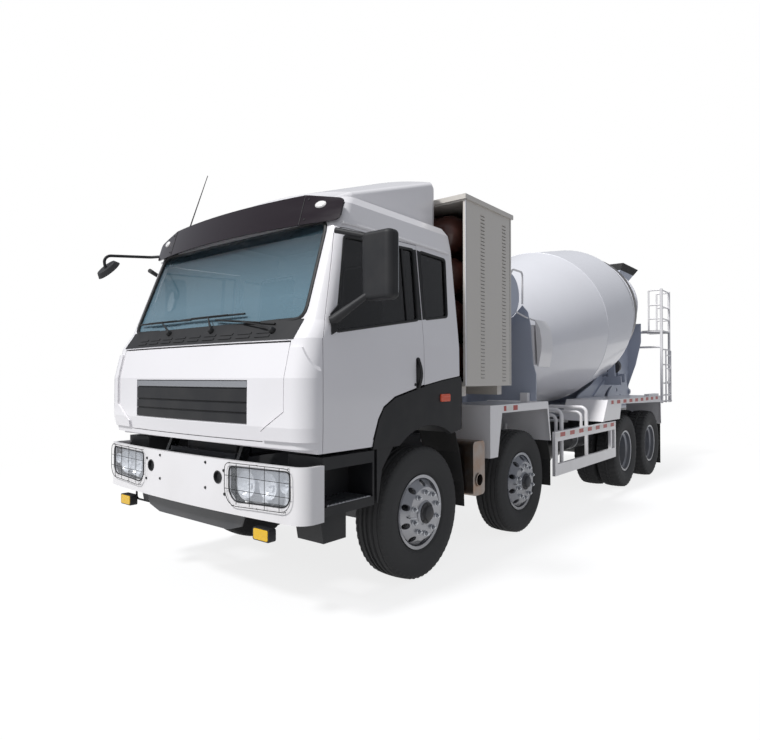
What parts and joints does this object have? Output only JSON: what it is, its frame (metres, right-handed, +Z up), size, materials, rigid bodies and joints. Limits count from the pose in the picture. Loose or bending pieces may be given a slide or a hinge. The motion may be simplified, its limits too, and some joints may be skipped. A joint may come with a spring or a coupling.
{
  "type": "concrete mixer truck",
  "caption": "Four-axle lorry with a tilting cab, a cabinet of gas cylinders, a tilted rotating concrete drum, feed hopper, swinging discharge chute and side ladder.",
  "frame": {"origin": "on the ground, under the middle of the truck's box", "axes": "+X forward, +Y to the truck's left, +Z up"},
  "size_m": [10.4, 3.27, 3.8797],
  "materials": {
    "white_paint": "gloss white enamel",
    "drum_paint": "gloss white enamel",
    "frame_paint": "satin dark grey chassis paint",
    "pedestal_paint": "satin light grey enamel",
    "cabinet_paint": "satin beige enamel",
    "wheel_paint": "satin silver grey paint",
    "tyre_rubber": "matt black rubber",
    "black_plastic": "grained black plastic",
    "visor_plastic": "dark tinted gloss plastic",
    "flap_rubber": "matt black rubber",
    "clear_glass": "clear laminated glass",
    "lamp_glass": "clear lamp cover",
    "interior_plastic": "grained grey plastic",
    "seat_fabric": "woven grey cloth",
    "cast_grey": "painted casting",
    "stainless": "heat-tinted stainless sheet",
    "cylinder_paint": "dull red-brown paint"
  },
  "bodies": {
    "chassis": {"air_tanks": "frame_paint", "cab_steps": "black_plastic", "chassis_frame": "frame_paint", "discharge_hood": "pedestal_paint", "drum_drive": "cast_grey", "exhaust_silencer": "stainless", "feed_hopper": "flap_rubber", "front_bumper": "white_paint", "front_pedestal": "pedestal_paint", "gas_cabinet": "cabinet_paint", "gas_cylinders": "cylinder_paint", "ladder_platform": "white_paint", "lamps": "lamp_glass", "mud_flaps": "flap_rubber", "mudguards": "white_paint", "power_train": "cast_grey", "rear_pedestal": "pedestal_paint", "running_gear": "frame_paint", "side_guards": "white_paint", "subframe": "pedestal_paint"},
    "cab": {"cab_shell": "white_paint", "windscreen": "clear_glass", "sun_visor": "visor_plastic", "roof_fairing": "white_paint", "dashboard": "interior_plastic", "seats": "seat_fabric", "cab_arches": "black_plastic", "front_mirror": "black_plastic"},
    "front_lid": {"front_lid": "white_paint"},
    "steering_wheel": {"steering_wheel": "black_plastic"},
    "door_left": {"door_left": "white_paint", "mirror_left": "black_plastic"},
    "door_right": {"door_right": "white_paint", "mirror_right": "black_plastic"},
    "drum": {"drum": "drum_paint"},
    "roller_left": {"roller_left": "cast_grey"},
    "roller_right": {"roller_right": "cast_grey"},
    "chute_swivel": {"chute_swivel": "pedestal_paint"},
    "discharge_chute": {"discharge_chute": "white_paint"},
    "ladder_lower": {"ladder_lower": "white_paint"},
    "knuckle_1_left": {"knuckle_1_left": "cast_grey"},
    "knuckle_1_right": {"knuckle_1_right": "cast_grey"},
    "knuckle_2_left": {"knuckle_2_left": "cast_grey"},
    "knuckle_2_right": {"knuckle_2_right": "cast_grey"},
    "wheel_1_left": {"wheel_1_left": "wheel_paint", "tyre_1_left": "tyre_rubber"},
    "wheel_1_right": {"wheel_1_right": "wheel_paint", "tyre_1_right": "tyre_rubber"},
    "wheel_2_left": {"wheel_2_left": "wheel_paint", "tyre_2_left": "tyre_rubber"},
    "wheel_2_right": {"wheel_2_right": "wheel_paint", "tyre_2_right": "tyre_rubber"},
    "wheel_3_left": {"wheel_3_left": "wheel_paint", "tyre_3_left": "tyre_rubber"},
    "wheel_3_right": {"wheel_3_right": "wheel_paint", "tyre_3_right": "tyre_rubber"},
    "wheel_4_left": {"wheel_4_left": "wheel_paint", "tyre_4_left": "tyre_rubber"},
    "wheel_4_right": {"wheel_4_right": "wheel_paint", "tyre_4_right": "tyre_rubber"}
  },
  "joints": [
    {"name": "cab_tilt", "type": "hinge", "parent": "chassis", "child": "cab", "pos_m": [5.04, 0, 0.95], "axis": [0, 1, 0], "range_deg": [0, 45]},
    {"name": "lid_hinge", "type": "hinge", "parent": "cab", "child": "front_lid", "pos_m": [5.13, 0, 1.886], "axis": [0, -1, 0], "range_deg": [0, 75]},
    {"name": "door_left_hinge", "type": "hinge", "parent": "cab", "child": "door_left", "pos_m": [4.966, 1.247, 1.5], "axis": [0, 0, -1], "range_deg": [0, 70]},
    {"name": "door_right_hinge", "type": "hinge", "parent": "cab", "child": "door_right", "pos_m": [4.966, -1.247, 1.5], "axis": [0, 0, 1], "range_deg": [0, 70]},
    {"name": "steer_1_left", "type": "hinge", "parent": "chassis", "child": "knuckle_1_left", "pos_m": [3.71, 0.85, 0.542], "axis": [0, 0, 1], "range_deg": [-32, 32]},
    {"name": "steer_1_right", "type": "hinge", "parent": "chassis", "child": "knuckle_1_right", "pos_m": [3.71, -0.85, 0.542], "axis": [0, 0, 1], "range_deg": [-32, 32]},
    {"name": "steer_2_left", "type": "hinge", "parent": "chassis", "child": "knuckle_2_left", "pos_m": [1.86, 0.85, 0.542], "axis": [0, 0, 1], "range_deg": [-22, 22]},
    {"name": "steer_2_right", "type": "hinge", "parent": "chassis", "child": "knuckle_2_right", "pos_m": [1.86, -0.85, 0.542], "axis": [0, 0, 1], "range_deg": [-22, 22]},
    {"name": "spin_1_left", "type": "hinge", "parent": "knuckle_1_left", "child": "wheel_1_left", "pos_m": [3.71, 1.01, 0.542], "axis": [0, 1, 0], "continuous": true},
    {"name": "spin_1_right", "type": "hinge", "parent": "knuckle_1_right", "child": "wheel_1_right", "pos_m": [3.71, -1.01, 0.542], "axis": [0, 1, 0], "continuous": true},
    {"name": "spin_2_left", "type": "hinge", "parent": "knuckle_2_left", "child": "wheel_2_left", "pos_m": [1.86, 1.01, 0.542], "axis": [0, 1, 0], "continuous": true},
    {"name": "spin_2_right", "type": "hinge", "parent": "knuckle_2_right", "child": "wheel_2_right", "pos_m": [1.86, -1.01, 0.542], "axis": [0, 1, 0], "continuous": true},
    {"name": "spin_3_left", "type": "hinge", "parent": "chassis", "child": "wheel_3_left", "pos_m": [-1.54, 0.92, 0.542], "axis": [0, 1, 0], "continuous": true},
    {"name": "spin_3_right", "type": "hinge", "parent": "chassis", "child": "wheel_3_right", "pos_m": [-1.54, -0.92, 0.542], "axis": [0, 1, 0], "continuous": true},
    {"name": "spin_4_left", "type": "hinge", "parent": "chassis", "child": "wheel_4_left", "pos_m": [-2.89, 0.92, 0.542], "axis": [0, 1, 0], "continuous": true},
    {"name": "spin_4_right", "type": "hinge", "parent": "chassis", "child": "wheel_4_right", "pos_m": [-2.89, -0.92, 0.542], "axis": [0, 1, 0], "continuous": true},
    {"name": "drum_spin", "type": "hinge", "parent": "chassis", "child": "drum", "pos_m": [1.621, 0, 1.877], "axis": [-0.9789, 0, 0.2045], "continuous": true},
    {"name": "roller_left_spin", "type": "hinge", "parent": "chassis", "child": "roller_left", "pos_m": [-3.03447, 0.56925, 1.84232], "axis": [-0.9789, 0, 0.2045], "continuous": true},
    {"name": "roller_right_spin", "type": "hinge", "parent": "chassis", "child": "roller_right", "pos_m": [-3.03447, -0.56925, 1.84232], "axis": [-0.9789, 0, 0.2045], "continuous": true},
    {"name": "chute_swing", "type": "hinge", "parent": "chassis", "child": "chute_swivel", "pos_m": [-4.72, 0, 1.71], "axis": [0, 0, -1], "range_deg": [0, 180]},
    {"name": "chute_tilt", "type": "hinge", "parent": "chute_swivel", "child": "discharge_chute", "pos_m": [-4.72, 0, 1.83], "axis": [1, 0, 0], "range_deg": [-15, 25]},
    {"name": "ladder_fold", "type": "hinge", "parent": "chassis", "child": "ladder_lower", "pos_m": [-4.9, 1.046, 1.18], "axis": [-1, 0, 0], "range_deg": [0, 170]},
    {"name": "steering_wheel_turn", "type": "hinge", "parent": "cab", "child": "steering_wheel", "pos_m": [4.48, 0.57, 2.15], "axis": [-0.5299, 0, 0.848], "range_deg": [-600, 600]}
  ],
  "couplings": [
    {"joint": "steer_1_right", "follows": "steer_1_left", "ratio": 1},
    {"joint": "steer_2_left", "follows": "steer_1_left", "ratio": 0.6875},
    {"joint": "steer_2_right", "follows": "steer_1_left", "ratio": 0.6875},
    {"joint": "steering_wheel_turn", "follows": "steer_1_left", "ratio": 18},
    {"joint": "roller_left_spin", "follows": "drum_spin", "ratio": -8.096},
    {"joint": "roller_right_spin", "follows": "drum_spin", "ratio": -8.096}
  ]
}
